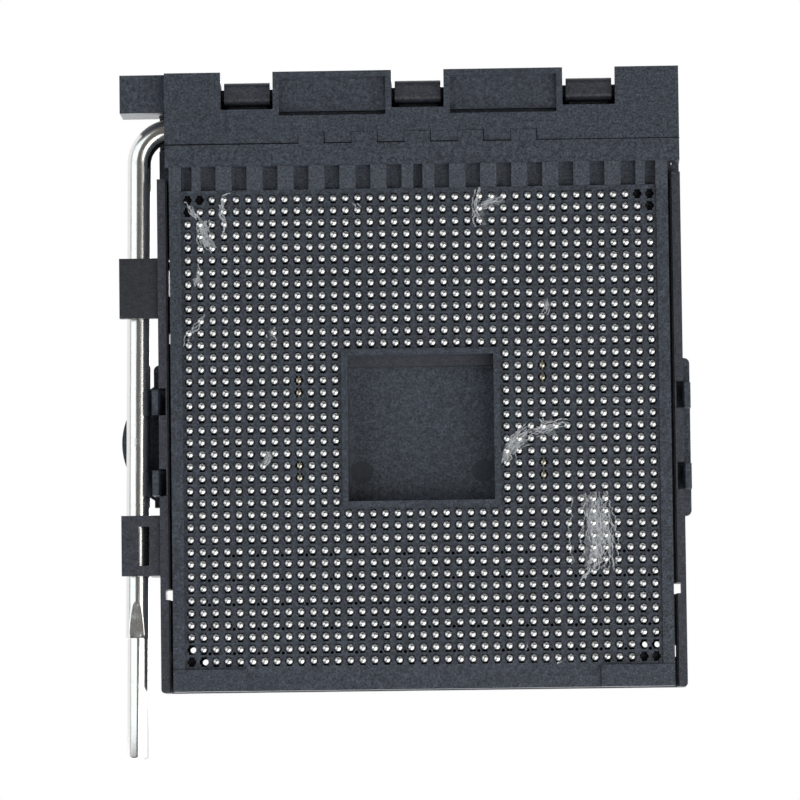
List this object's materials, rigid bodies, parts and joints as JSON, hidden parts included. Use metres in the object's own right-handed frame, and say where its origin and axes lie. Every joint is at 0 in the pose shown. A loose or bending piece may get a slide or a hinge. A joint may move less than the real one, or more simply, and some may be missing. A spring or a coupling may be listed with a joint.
{
  "type": "zif socket",
  "caption": "Square zero-insertion-force socket for a pin-grid package: ball-grid base, sliding cover moved by a cranked side lever, and a clip-on pick-up cap.",
  "frame": {"origin": "middle of the ball grid, on the plane of the circuit board", "axes": "+Z away from the board, +Y toward the cam head, +X toward the side with the lever"},
  "size_m": [0.0469, 0.0564, 0.0052],
  "materials": {
    "base_plastic": "fine grain, glass-filled",
    "cover_plastic": "satin, glass-filled",
    "cap_plastic": "satin",
    "lever_steel": "polished wire",
    "plate_steel": "rolled strip",
    "contact_metal": "plated strip",
    "solder": "bright cast solder"
  },
  "bodies": {
    "base": {"base_housing": "base_plastic", "lower_wear_plate_far": "plate_steel", "lower_wear_plate_lever": "plate_steel", "bare_contacts": "contact_metal", "solder_balls_front_far": "solder", "solder_balls_front_middle": "solder", "solder_balls_front_lever": "solder", "solder_balls_centre_far": "solder", "solder_balls_centre_lever": "solder", "solder_balls_head_far": "solder", "solder_balls_head_middle": "solder", "solder_balls_head_lever": "solder"},
    "cover": {"sliding_cover": "cover_plastic", "upper_wear_plate_far": "plate_steel", "upper_wear_plate_middle": "plate_steel", "upper_wear_plate_lever": "plate_steel"},
    "lever": {"lever": "lever_steel"},
    "cap": {"pickup_cap": "cap_plastic"}
  },
  "joints": [
    {"name": "lever_turn", "type": "hinge", "parent": "base", "child": "lever", "pos_m": [0, 0.02506, 0.00275], "axis": [-1, 0, 0], "range_deg": [0, 95]},
    {"name": "cover_slide", "type": "slide", "parent": "base", "child": "cover", "axis": [0, 1, 0], "range_m": [0, 0.0008]},
    {"name": "cap_lift", "type": "hinge", "parent": "cover", "child": "cap", "pos_m": [-0.0221, 0, 0.001], "axis": [0, -1, 0], "range_deg": [0, 95]}
  ],
  "couplings": [
    {"joint": "cover_slide", "follows": "lever_turn", "m_per_rad": 0.0004824},
    {"joint": "cap_lift", "follows": "lever_turn", "ratio": 1}
  ]
}
